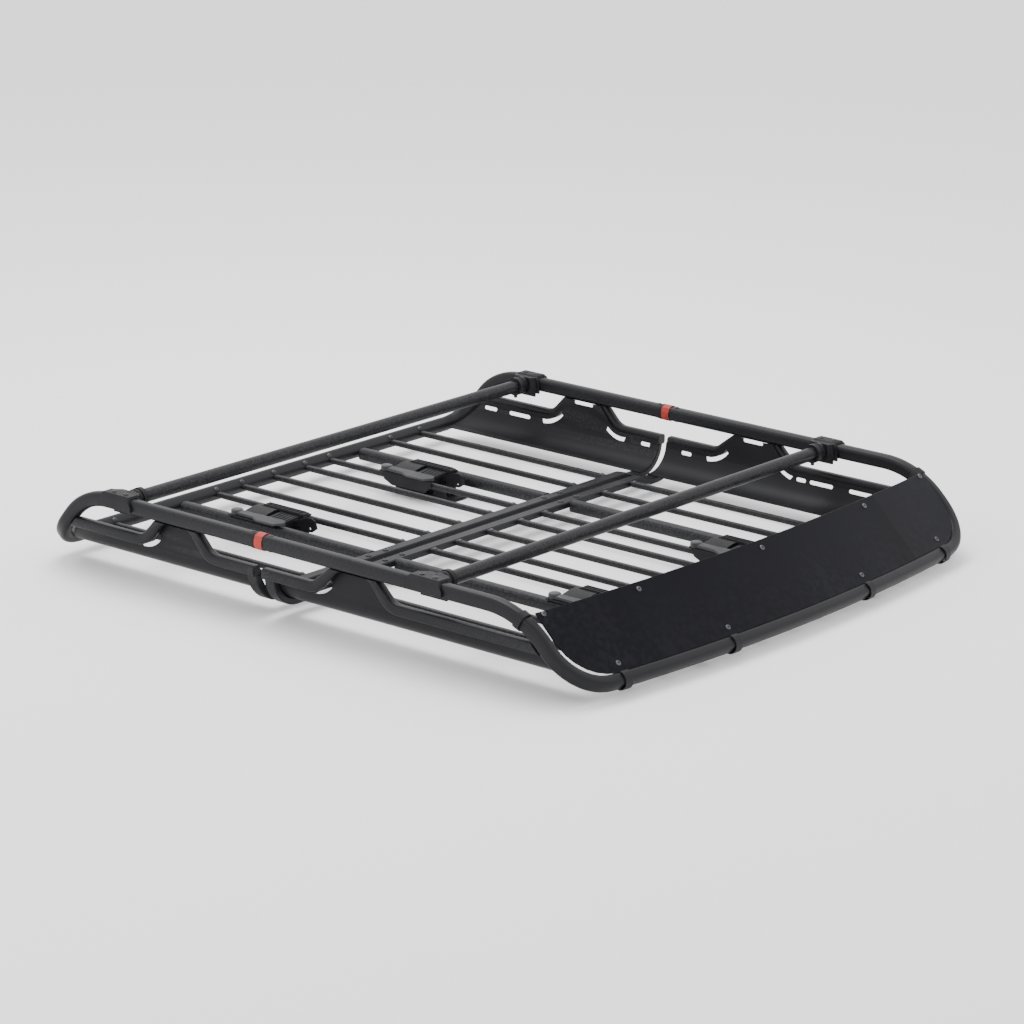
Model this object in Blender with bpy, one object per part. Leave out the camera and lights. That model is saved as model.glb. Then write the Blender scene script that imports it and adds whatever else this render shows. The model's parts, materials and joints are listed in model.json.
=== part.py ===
"""Roof cargo basket for a vehicle's crossbars: two bent-tube halves joined at the middle, a slatted floor,
curved side panels, two load bars that slide on the top rails, a bowed wind fairing and four lever clamps.

Units are metres. X is across the vehicle, -Y is its front and +Z is up. The origin is the middle of the
footprint, on the plane that the four clamp jaws stand on.
"""

import math

import bmesh
import bpy
from mathutils import Matrix, Vector

# --- Driving dimensions -------------------------------------------------------------------------------
GAP = 0.0003  # between pieces that touch
DECK_Z = 0.038  # middle of the floor slats above the ground
RAIL_X = 0.600  # centre line of the top rails
RAIL_Z = DECK_Z + 0.110
TUBE_WIDE, TUBE_TALL, TUBE_ROUND = 0.0250, 0.0275, 0.0090  # hoop tube section
TUBE_REACH = 0.0152  # clears the hoop tube's corners all round

# Distances along Y are from the joint between the halves, which lies at SPLIT_Y.
REAR_TOP, REAR_FOOT = 0.437, 0.527  # where the rear leg leaves the rail line, and the rear tube
FRONT_TOP, FRONT_FOOT = -0.598, -0.7185  # the same for the front hoop, at its corners
FRONT_BOW = 0.0424  # how far the front tube bows forward at the middle
FRONT_DROP = 0.0085  # the front tube's centre below the slats' centre
SPLIT_Y = 0.1169
BOTTOM_STEPS = 10  # straight lengths that make up a hoop's bottom tube
REAR_RADII = (0.118, 0.068)  # top bend, bottom corner
FRONT_RADII = (0.178, 0.094)

SLAT_WIDE, SLAT_TALL = 0.0120, 0.0105
SLAT_X = (0.0, 0.0924, 0.1651, 0.3531, 0.4455)  # mirrored
MOUNT_X = 0.2600
MOUNT_WIDE, MOUNT_TALL = 0.0260, 0.0240
MOUNT_DROP = 0.0050
MEMBER_Y = 0.0210  # each middle cross member from the joint line
MEMBER_WIDE, MEMBER_THICK = 0.0240, 0.0130
MEMBER_Z = DECK_Z - 0.0005
MEMBER_DIP = (0.4800, 0.5120)

SIDE_TALL, SIDE_WIDE, SIDE_ROUND = 0.0200, 0.0200, 0.0050  # waved lower side rail
SIDE_LOW = DECK_Z + 0.052
SIDE_HIGH = RAIL_Z - TUBE_TALL / 2 + 0.0080  # its crest is pressed flat under the top rail
SIDE_DIP, SIDE_BEND = 0.045, 0.030  # radii of its lower and upper bends
REAR_WAVE = (0.283, 0.241, 0.166, 0.123)
FRONT_WAVE = (-0.133, -0.185, -0.263, -0.309)

PANEL_THICK = 0.0020
PANEL_X = RAIL_X - SIDE_WIDE / 2 - 0.0007  # outer face
PANEL_BEND = 0.054
PANEL_FOOT = -0.003  # its flat edge from the slats' centre
PANEL_EDGE_X = 0.5270
PANEL_END_Y = 0.0100
SLOT_TALL = 0.0080
LOW_SLOTS = ((0.427, 0.461), (0.339, 0.395), (0.026, 0.053), (-0.075, -0.049), (-0.354, -0.330),
             (-0.418, -0.362), (-0.515, -0.455))
HIGH_SLOTS = ((0.178, 0.226), (-0.247, -0.199))
CRESCENTS = {"rear": ((-146, -86), (-100, -46)), "front": ((-146, -86), (-84, -46))}  # degrees round each dip

BAR_Y = (0.350, -0.392)
BAR_RADIUS = 0.0130
BAR_END_X = 0.5720
SADDLE_LONG = {-1: 0.0840, 1: 0.0680}  # on the left and on the right
SADDLE_WALL = 0.0042
SADDLE_CLEAR = 0.0008  # round the top rail, so that the saddle slides
SKIRT_DROP = 0.0245  # how far the saddle's inner side reaches below the rail's centre
SOCKET_MOUTH = 0.0560  # the socket's open end, inwards from the rail's centre
SOCKET_RADIUS, COLLAR_RADIUS, COLLAR_LONG = 0.0170, 0.0186, 0.0100
COUPLER_Y = (-0.0140, 0.0040)
COUPLER_WALL = 0.0020
ROUND_STEPS = 24

FAIRING_THICK = 0.0025
FAIRING_HALF = 0.5880
FAIRING_OUT = 0.0095  # its back face off the front tube's centre plane
FAIRING_FOOT = 0.0116  # its lower edge, measured up the slope from the front tube's centre
FAIRING_LIP = 0.0018  # its front face reaches this much lower, over the tube
FAIRING_TOP, FAIRING_CROWN = 0.1545, 0.0055  # its top edge at the ends, and how much higher in the middle
CLIP_X = (0.207, 0.490)
CLIP_LONG, CLIP_WALL, CLIP_TAB = 0.0180, 0.0022, 0.0360

CLAMP_Y = {"rear_left": 0.295, "rear_right": 0.286, "front_left": -0.480, "front_right": -0.480}
MEMBER_X = (MOUNT_X - SLAT_X[2]) / 2  # from a clamp's middle to the bars it spans
CLAMP_X = MOUNT_X - MEMBER_X
CORE_HALF = 0.0300
CORE_LOW = -0.0120
CORE_Y = (-0.0260, 0.0830)
LEDGE_X = (0.0140, 0.0370)  # the ribbed ledge above the inner or outer bar's near edge
BED_LOW, BED_HIGH = 0.0073, 0.0105
CHEEK_THICK = 0.0038
EAR_X, EAR_THICK = (0.0, 0.0240), 0.0036  # inner faces of the two ears
PIVOT_BORE, EYE_BORE = 0.0022, 0.0030
JAW_PIVOT = (-0.0360, -0.0040)
EAR_EYE = (-0.0676, 0.0000)  # a hole through the tall ear, in front of the jaw
KNUCKLE = 0.0052
JAW_X = (-0.0280, 0.0320)
JAW_TOP, JAW_LOW = -0.0325, -0.0380
LEVER_PIVOT = (-MEMBER_X, 0.0790, BED_HIGH + GAP)
LEVER_THICK = 0.0085
BOSS_RADIUS = 0.0120

COLOURS = {
    "black_steel": ((0.030, 0.030, 0.033), 0.42, 0.55),
    "panel_steel": ((0.026, 0.026, 0.028), 0.46, 0.50),
    "black_casting": ((0.022, 0.022, 0.024), 0.55, 0.10),
    "fairing_black": ((0.010, 0.009, 0.016), 0.30, 0.00),
    "red_band": ((0.560, 0.055, 0.035), 0.45, 0.00),
}


# --- Helpers ------------------------------------------------------------------------------------------
def clear_scene():
    for item in list(bpy.data.objects):
        bpy.data.objects.remove(item, do_unlink=True)


def material(name):
    found = bpy.data.materials.get(name)
    if found:
        return found
    colour, roughness, metallic = COLOURS[name]
    made = bpy.data.materials.new(name)
    made.use_nodes = True
    shader = made.node_tree.nodes["Principled BSDF"]
    shader.inputs["Base Color"].default_value = (*colour, 1)
    shader.inputs["Roughness"].default_value = roughness
    shader.inputs["Metallic"].default_value = metallic
    return made


def add_object(name, bm, finish, parent=None, hide=False):
    """Turns a bmesh into a named object with outward faces."""
    bmesh.ops.recalc_face_normals(bm, faces=bm.faces)
    mesh = bpy.data.meshes.new(name)
    bm.to_mesh(mesh)
    bm.free()
    mesh.shade_smooth()
    mesh.set_sharp_from_angle(angle=math.radians(35))
    obj = bpy.data.objects.new(name, mesh)
    bpy.context.scene.collection.objects.link(obj)
    if finish:
        obj.data.materials.append(material(finish))
    obj.parent = parent
    if hide:
        obj.hide_render = True
        obj.display_type = "WIRE"
    return obj


def add_empty(name, place):
    empty = bpy.data.objects.new(name, None)
    bpy.context.scene.collection.objects.link(empty)
    empty.location = place
    return empty


def boolean(obj, operation, tool):
    modifier = obj.modifiers.new(operation.lower(), "BOOLEAN")
    modifier.operation = operation
    modifier.solver = "EXACT"
    modifier.object = tool


def rounded_rect(wide, tall, radius, steps=2):
    """Points round a rectangle whose corners are arcs of the given number of steps."""
    points = []
    for corner in range(4):
        turn = corner * math.pi / 2
        sign_u = 1 if corner in (0, 3) else -1
        sign_v = 1 if corner in (0, 1) else -1
        centre = (sign_u * (wide / 2 - radius), sign_v * (tall / 2 - radius))
        for step in range(steps + 1):
            angle = turn + step * math.pi / 2 / steps
            points.append((centre[0] + radius * math.cos(angle), centre[1] + radius * math.sin(angle)))
    return points


def arc(centre, radius, start, end, steps):
    """Points on an arc in a plane; the angles are in degrees."""
    angles = [math.radians(start + (end - start) * i / steps) for i in range(steps + 1)]
    return [(centre[0] + radius * math.cos(a), centre[1] + radius * math.sin(a)) for a in angles]


def fillet_path(corners, radii, steps=6):
    """A polyline whose inner corners are replaced by arcs. A radius of 0 keeps the corner."""
    path = [corners[0].copy()]
    for before, here, after, radius in zip(corners, corners[1:], corners[2:], radii):
        if not radius:
            path.append(here.copy())
            continue
        back = (before - here).normalized()
        ahead = (after - here).normalized()
        half = back.angle(ahead) / 2
        centre = here + (back + ahead).normalized() * radius / math.sin(half)
        start = here + back * radius / math.tan(half) - centre
        axis = back.cross(ahead)
        sweep_angle = math.pi - 2 * half
        for step in range(steps + 1):
            path.append(centre + Matrix.Rotation(-sweep_angle * step / steps, 3, axis) @ start)
    path.append(corners[-1].copy())
    return path


def sweep(path, section, side):
    """A closed tube: the section carried along the path without twisting."""
    bm = bmesh.new()
    rings = []
    last = None
    for i, point in enumerate(path):
        arriving = (point - path[i - 1]).normalized() if i else None
        leaving = (path[i + 1] - point).normalized() if i + 1 < len(path) else None
        ahead = ((arriving or leaving) + (leaving or arriving)).normalized()
        if last:
            side = last.rotation_difference(ahead) @ side
        side = (side - ahead * side.dot(ahead)).normalized()
        up = ahead.cross(side)
        rings.append([bm.verts.new(point + side * u + up * v) for u, v in section])
        last = ahead
    for ring, following in zip(rings, rings[1:]):
        for k in range(len(section)):
            after = (k + 1) % len(section)
            bm.faces.new((ring[k], ring[after], following[after], following[k]))
    bm.faces.new(rings[0])
    bm.faces.new(rings[-1])
    return bm, rings


def prism(bm, outline, axis, low, high):
    """Adds a solid: an outline in the plane across the axis, from low to high along it."""
    place = {
        "x": lambda u, v, w: (w, u, v),
        "y": lambda u, v, w: (u, w, v),
        "z": lambda u, v, w: (u, v, w),
    }[axis]
    ends = [[bm.verts.new(place(u, v, w)) for u, v in outline] for w in (low, high)]
    for k in range(len(outline)):
        after = (k + 1) % len(outline)
        bm.faces.new((ends[0][k], ends[0][after], ends[1][after], ends[1][k]))
    bm.faces.new(ends[0])
    bm.faces.new(ends[1])


def slot_outline(start, end, middle, tall):
    """A slot with round ends, as seen from the side."""
    radius = tall / 2
    outline = arc((end - radius, middle), radius, -90, 90, 4)
    return outline + arc((start + radius, middle), radius, 90, 270, 4)


# --- Geometry that several pieces share ---------------------------------------------------------------
REAR_FOOT_Z = DECK_Z
FRONT_FOOT_Z = DECK_Z - FRONT_DROP
REAR_SLOPE = math.atan2(RAIL_Z - REAR_FOOT_Z, REAR_FOOT - REAR_TOP)
FRONT_SLOPE = math.atan2(RAIL_Z - FRONT_FOOT_Z, FRONT_TOP - FRONT_FOOT)


def bottom_reach(radii):
    """How far from the middle a hoop's bottom tube runs before its corner bends begin."""
    return RAIL_X - radii[1] - 0.020


def front_tube_y(x):
    """Centre line of the bowed front tube."""
    return SPLIT_Y + FRONT_FOOT - FRONT_BOW * (1 - (x / RAIL_X) ** 2)


def leg_face_y(z, half):
    """Where a hoop leg's inner face is at a height: slats, rails and panels end just short of it."""
    clear = TUBE_REACH + GAP
    if half == "rear":
        return SPLIT_Y + REAR_FOOT - (z - REAR_FOOT_Z) / math.tan(REAR_SLOPE) - clear / math.sin(REAR_SLOPE)
    return SPLIT_Y + FRONT_FOOT + (z - FRONT_FOOT_Z) / math.tan(FRONT_SLOPE) + clear / math.sin(FRONT_SLOPE)


# --- Frame --------------------------------------------------------------------------------------------
def hoop(name, top, foot, foot_z, bow, radii, along):
    """One half's bent tube: top rail, leg, bottom cross tube, leg, top rail."""
    start = SPLIT_Y + along * GAP
    bottom = []
    reach, steps = bottom_reach(radii), BOTTOM_STEPS
    for i in range(steps + 1):
        x = -reach + 2 * reach * i / steps
        bottom.append(Vector((x, SPLIT_Y + foot + along * bow * (1 - (x / RAIL_X) ** 2), foot_z)))
    left = [
        Vector((-RAIL_X, start, RAIL_Z)),
        Vector((-RAIL_X, SPLIT_Y + top, RAIL_Z)),
        Vector((-RAIL_X, SPLIT_Y + foot, foot_z)),
    ]
    right = [Vector((RAIL_X, p.y, p.z)) for p in reversed(left)]
    corners = left + bottom + right
    bends = [radii[0], radii[1]] + [0] * len(bottom) + [radii[1], radii[0]]
    path = fillet_path(corners, bends, 7)
    section = rounded_rect(TUBE_WIDE, TUBE_TALL, TUBE_ROUND)
    bm, _ = sweep(path, section, Vector((1, 0, 0)))
    add_object(name, bm, "black_steel")


def make_hoops():
    hoop("rear_hoop", REAR_TOP, REAR_FOOT, REAR_FOOT_Z, 0.0, REAR_RADII, 1)
    hoop("front_hoop", FRONT_TOP, FRONT_FOOT, FRONT_FOOT_Z, FRONT_BOW, FRONT_RADII, -1)


def side_path(half):
    """Centre line of a waved side rail, from its hoop leg to the joint between the halves."""
    wave = REAR_WAVE if half == "rear" else FRONT_WAVE[::-1]
    heights = (SIDE_LOW, SIDE_HIGH, SIDE_HIGH, SIDE_LOW)
    end = PANEL_END_Y if half == "rear" else -PANEL_END_Y
    leg = leg_face_y(SIDE_LOW, half)
    corners = [Vector((0, leg, SIDE_LOW))]
    corners += [Vector((0, SPLIT_Y + y, z)) for y, z in zip(wave, heights)]
    corners.append(Vector((0, SPLIT_Y + end, SIDE_LOW)))
    return fillet_path(corners, [SIDE_DIP, SIDE_BEND, SIDE_BEND, SIDE_DIP], 5)


def side_rail(name, half, sign):
    path = [point + Vector((sign * RAIL_X, 0, 0)) for point in side_path(half)]
    bm, rings = sweep(path, rounded_rect(SIDE_WIDE, SIDE_TALL, SIDE_ROUND), Vector((1, 0, 0)))
    for vertex in rings[0]:
        vertex.co.y = leg_face_y(vertex.co.z, half)
    ceiling = RAIL_Z - TUBE_TALL / 2 - GAP
    for vertex in bm.verts:
        vertex.co.z = min(vertex.co.z, ceiling)
    add_object(name, bm, "black_steel")


def panel_section():
    """The panel's cross-section for the +X side: flat foot, quarter bend, upright."""
    centre = (PANEL_X - PANEL_BEND, DECK_Z + PANEL_FOOT + PANEL_BEND)
    top = RAIL_Z + 0.010
    outer = [(PANEL_EDGE_X, DECK_Z + PANEL_FOOT)] + arc(centre, PANEL_BEND, -90, 0, 8) + [(PANEL_X, top)]
    inside = PANEL_BEND - PANEL_THICK
    inner = [(PANEL_EDGE_X, DECK_Z + PANEL_FOOT + PANEL_THICK)] + arc(centre, inside, -90, 0, 8)
    inner.append((PANEL_X - PANEL_THICK, top))
    return outer + inner[::-1]


def panel_outline(half):
    """The panel's side view: its upper edge follows the side rail, and its end follows the hoop."""
    crest = RAIL_Z - TUBE_TALL / 2 - 0.0006
    upper = [(p.y, min(p.z, crest)) for p in side_path(half)]
    end = upper[-1][0]
    foot = DECK_Z - 0.010
    return [(leg_face_y(foot, half), foot)] + upper + [(end, foot)]


def crescent(bend_y, bend_z, low, high):
    """A curved slot that follows the underside of a dip in the side rail."""
    inner = arc((bend_y, bend_z), SIDE_DIP + 0.0100, low, high, 5)
    outer = arc((bend_y, bend_z), SIDE_DIP + 0.0185, high - 4, low + 4, 5)
    return inner + outer


def panel_cutter(name, half):
    """All the slots of a panel, cut straight through it along X. The crest's slot opens under the top rail."""
    bm = bmesh.new()
    low_z = SIDE_LOW - SIDE_TALL / 2 - 0.0035
    high_z = RAIL_Z - TUBE_TALL / 2 - SLOT_TALL / 2 + 0.0005
    reach = RAIL_X + 0.050
    for slots, middle in ((LOW_SLOTS, low_z), (HIGH_SLOTS, high_z)):
        for start, end in slots:
            if (start > 0) == (half == "rear"):
                outline = slot_outline(SPLIT_Y + start, SPLIT_Y + end, middle, SLOT_TALL)
                prism(bm, outline, "x", -reach, reach)
    wave = REAR_WAVE if half == "rear" else FRONT_WAVE
    slant = math.atan2(SIDE_HIGH - SIDE_LOW, wave[0] - wave[1])
    step = SIDE_DIP * math.tan(slant / 2)
    for y, angles in zip((wave[0] + step, wave[3] - step), CRESCENTS[half]):
        outline = crescent(SPLIT_Y + y, SIDE_LOW + SIDE_DIP, *angles)
        prism(bm, outline, "x", -reach, reach)
    return add_object(name, bm, None, hide=True)


def side_panel(name, half, sign, cutter, trim):
    bm = bmesh.new()
    outline = [(sign * x, z) for x, z in panel_section()]
    prism(bm, outline, "y", SPLIT_Y - 0.80, SPLIT_Y + 0.60)
    panel = add_object(name, bm, "panel_steel")
    boolean(panel, "INTERSECT", trim)
    boolean(panel, "DIFFERENCE", cutter)


def make_sides():
    for half in ("rear", "front"):
        cutter = panel_cutter(f"{half}_slot_cutter", half)
        bm = bmesh.new()
        prism(bm, panel_outline(half), "x", -RAIL_X - 0.050, RAIL_X + 0.050)
        trim = add_object(f"{half}_panel_trim", bm, None, hide=True)
        for word, sign in (("left", -1), ("right", 1)):
            side_rail(f"side_rail_{half}_{word}", half, sign)
            side_panel(f"side_panel_{half}_{word}", half, sign, cutter, trim)


def middle_member(name, y):
    """A flat cross member: it dips under the side panels' feet and curls up behind them to the side rails."""
    out = MEMBER_THICK / 2 + GAP
    radius = PANEL_BEND + out
    centre = (PANEL_X - PANEL_BEND, DECK_Z + PANEL_FOOT + PANEL_BEND)
    top = SIDE_LOW - SIDE_TALL / 2 - GAP
    last = math.degrees(math.asin((top - centre[1]) / radius))
    right = [(MEMBER_DIP[0], MEMBER_Z), (MEMBER_DIP[1], centre[1] - radius)] + arc(centre, radius, -90, last, 8)
    path = [Vector((-x, y, z)) for x, z in reversed(right)] + [Vector((x, y, z)) for x, z in right]
    section = rounded_rect(MEMBER_WIDE, MEMBER_THICK, 0.0020, 1)
    bm, rings = sweep(path, section, Vector((0, 1, 0)))
    for vertex in rings[0] + rings[-1]:
        vertex.co.z = top
    add_object(name, bm, "black_steel")


def lengthwise_bar(name, x, wide, tall, radius, z, half):
    """A straight bar from a middle cross member to the hoop's bottom tube."""
    member = MEMBER_Y + MEMBER_WIDE / 2 + GAP
    if half == "rear":
        start, end = SPLIT_Y + member, SPLIT_Y + REAR_FOOT - TUBE_REACH - GAP
    else:
        start, end = front_tube_y(x) + TUBE_REACH + GAP + 0.0010, SPLIT_Y - member
    bm, _ = sweep([Vector((0, 0, 0)), Vector((0, end - start, 0))],
                  rounded_rect(wide, tall, radius), Vector((1, 0, 0)))
    bar = add_object(name, bm, "black_steel")
    bar.location = (x, start, z)


def make_floor():
    for word, sign in (("rear", 1), ("front", -1)):
        middle_member(f"middle_member_{word}", SPLIT_Y + sign * MEMBER_Y)
        places = sorted({side * x for x in SLAT_X for side in (-1, 1)})
        for number, x in enumerate(places, 1):
            lengthwise_bar(f"slat_{word}_{number}", x, SLAT_WIDE, SLAT_TALL, 0.0025, DECK_Z, word)
        for hand, side in (("left", -1), ("right", 1)):
            lengthwise_bar(f"mount_rail_{word}_{hand}", side * MOUNT_X, MOUNT_WIDE, MOUNT_TALL,
                           0.0080, DECK_Z - MOUNT_DROP, word)


def make_couplers():
    """Red bands that sleeve the ends of the top rails together."""
    wall = COUPLER_WALL
    for word, sign in (("left", -1), ("right", 1)):
        bm = bmesh.new()
        outer = rounded_rect(TUBE_WIDE + 2 * wall, TUBE_TALL + 2 * wall, TUBE_ROUND + wall)
        inner = rounded_rect(TUBE_WIDE + 2 * GAP, TUBE_TALL + 2 * GAP, TUBE_ROUND + GAP)
        rings = [[bm.verts.new((u, y, v)) for u, v in points]
                 for points in (outer, inner) for y in COUPLER_Y]
        count = len(outer)
        for a, b in ((0, 1), (1, 3), (3, 2), (2, 0)):
            for k in range(count):
                after = (k + 1) % count
                bm.faces.new((rings[a][k], rings[a][after], rings[b][after], rings[b][k]))
        band = add_object(f"rail_coupler_{word}", bm, "red_band")
        band.location = (sign * RAIL_X, SPLIT_Y, RAIL_Z)


# --- Load bars ----------------------------------------------------------------------------------------
def circle(radius):
    return arc((0, 0), radius, 0, 360 - 360 / ROUND_STEPS, ROUND_STEPS - 1)


def bar_bracket(name, sign, parent, bore):
    """A saddle over the top rail: a skirt hangs from its inner side, which carries the load bar's socket."""
    half_wide, half_tall = TUBE_WIDE / 2 + SADDLE_CLEAR, TUBE_TALL / 2 + SADDLE_CLEAR
    wall, chamfer = SADDLE_WALL, 0.0060
    half_long, top = SADDLE_LONG[sign] / 2, half_tall + wall + 0.0010
    out, inn = half_wide + wall, -half_wide - wall
    profile = [(out, -half_tall * 0.55), (out, half_tall - 0.002), (out - chamfer, half_tall + wall),
               (inn + chamfer, half_tall + wall), (inn, half_tall - 0.002), (inn, -half_tall - 0.0020),
               (-half_wide, -half_tall - 0.0020), (-half_wide, half_tall - chamfer),
               (-half_wide + chamfer, half_tall), (half_wide - chamfer, half_tall),
               (half_wide, half_tall - chamfer), (half_wide, -half_tall * 0.55)]
    skirt = [(-half_long + 0.0050, -0.0060), (half_long - 0.0050, -0.0060), (half_long * 0.7, -0.0140),
             (half_long * 0.7, -SKIRT_DROP), (-half_long * 0.7, -SKIRT_DROP), (-half_long * 0.7, -0.0140)]
    neck_root, neck_end = inn + 0.0010, inn - 0.0110
    neck = [(neck_root, -half_long * 0.8), (neck_root, half_long * 0.8), (neck_end, 0.0200),
            (neck_end, -0.0200)]
    ends = [(-half_long - 0.0010, -SKIRT_DROP - 0.0010), (half_long + 0.0010, -SKIRT_DROP - 0.0010),
            (half_long + 0.0010, -0.0020), (half_long - 0.0100, top), (-half_long + 0.0100, top),
            (-half_long - 0.0010, -0.0020)]
    bm = bmesh.new()
    prism(bm, [(sign * u, v) for u, v in profile], "y", -half_long, half_long)
    bracket = add_object(name, bm, "black_casting", parent)
    bracket.location = (sign * RAIL_X, 0, 0)
    parts = (
        ("UNION", skirt, "x", sign * inn, sign * -half_wide),
        ("UNION", [(sign * u, v) for u, v in neck], "z", -half_tall - 0.0015, half_tall + 0.0020),
        ("UNION", circle(SOCKET_RADIUS), "x", sign * (inn - 0.0010), sign * -(SOCKET_MOUTH - 0.0020)),
        ("UNION", circle(COLLAR_RADIUS), "x", sign * -(SOCKET_MOUTH - COLLAR_LONG), sign * -SOCKET_MOUTH),
        ("INTERSECT", ends, "x", -RAIL_X / 4, RAIL_X / 4),
    )
    for number, (operation, outline, axis, low, high) in enumerate(parts, 1):
        bm = bmesh.new()
        prism(bm, outline, axis, low, high)
        boolean(bracket, operation, add_object(f"{name}_shape_{number}", bm, None, bracket, hide=True))
    boolean(bracket, "DIFFERENCE", bore)


def make_load_bars():
    for word, y in zip(("rear", "front"), BAR_Y):
        slider = add_empty(f"{word}_bar_slider", (0, SPLIT_Y + y, RAIL_Z))
        bm = bmesh.new()
        prism(bm, circle(BAR_RADIUS), "x", -BAR_END_X, BAR_END_X)
        add_object(f"load_bar_{word}", bm, "black_steel", slider)
        bm = bmesh.new()
        prism(bm, circle(BAR_RADIUS + GAP), "x", -BAR_END_X - GAP, BAR_END_X + GAP)
        bore = add_object(f"{word}_socket_bore", bm, None, slider, hide=True)
        for hand, sign in (("left", -1), ("right", 1)):
            bar_bracket(f"bar_bracket_{word}_{hand}", sign, slider, bore)


# --- Fairing ------------------------------------------------------------------------------------------
def on_slope(x, up_slope, out):
    """A point on the fairing's surface: up the hoop's slope from the front tube, and off it forwards."""
    return Vector((
        x,
        front_tube_y(x) + up_slope * math.cos(FRONT_SLOPE) - out * math.sin(FRONT_SLOPE),
        FRONT_FOOT_Z + up_slope * math.sin(FRONT_SLOPE) + out * math.cos(FRONT_SLOPE),
    ))


def make_fairing():
    """A bowed sheet that fills the front hoop; its lower corners follow the hoop's corners."""
    turn = FRONT_RADII[1]
    radius = turn - FAIRING_FOOT - 0.0006
    flat = RAIL_X - turn
    reach, steps = bottom_reach(FRONT_RADII), BOTTOM_STEPS
    stations = [-reach + 2 * reach * i / steps for i in range(steps + 1)]
    bends = [flat + radius * math.sin(math.radians(a)) for a in (0, 14, 28, 42, 56, 70)] + [FAIRING_HALF]
    stations = [-x for x in reversed(bends)] + stations + bends
    face = FAIRING_OUT + FAIRING_THICK
    bm = bmesh.new()
    rings = []
    for x in stations:
        past = max(abs(x) - flat, 0)
        foot = FAIRING_FOOT
        if past:
            foot = turn - math.sqrt(max(radius ** 2 - past ** 2, 0))
        top = FAIRING_TOP + FAIRING_CROWN * (1 - (x / FAIRING_HALF) ** 2)
        corners = [(foot, FAIRING_OUT), (top, FAIRING_OUT), (top, face), (foot - FAIRING_LIP, face)]
        rings.append([bm.verts.new(on_slope(x, up, out)) for up, out in corners])
    for ring, following in zip(rings, rings[1:]):
        for k in range(4):
            after = (k + 1) % 4
            bm.faces.new((ring[k], ring[after], following[after], following[k]))
    bm.faces.new(rings[0])
    bm.faces.new(rings[-1])
    add_object("fairing", bm, "fairing_black")


def make_fairing_clips():
    """Clips round the front tube, each with a tab that is screwed to the fairing's back.

    The outline is (up the slope, off it forwards), as on the fairing, whose lower edge sits in the gap.
    """
    inside = TUBE_REACH + GAP
    outside = inside + CLIP_WALL
    tab_back = FAIRING_OUT - GAP - CLIP_WALL
    tab_front = FAIRING_OUT - GAP
    hook = 52
    outline = arc((0, 0), outside, hook, 360 + math.degrees(math.asin(tab_back / outside)), 16)
    outline += [(CLIP_TAB, tab_back), (CLIP_TAB, tab_front)]
    outline += arc((0, 0), inside, 360 + math.degrees(math.asin(tab_front / inside)), hook, 16)
    for number, x in enumerate(sorted(side * x for x in CLIP_X for side in (-1, 1)), 1):
        bm = bmesh.new()
        prism(bm, outline, "x", -CLIP_LONG / 2, CLIP_LONG / 2)
        clip = add_object(f"fairing_clip_{number}", bm, "black_casting")
        lean = 2 * FRONT_BOW * x / RAIL_X ** 2
        clip.matrix_world = (Matrix.Translation(on_slope(x, 0, 0))
                             @ Matrix.Rotation(math.atan(lean), 4, "Z")
                             @ Matrix.Rotation(FRONT_SLOPE, 4, "X"))


# --- Clamps -------------------------------------------------------------------------------------------
def member_half(sign, side):
    """Half the width of the bar on one side of a clamp: a mount rail on the outside, a slat on the inside."""
    return MOUNT_WIDE / 2 if sign == side else SLAT_WIDE / 2


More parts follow.
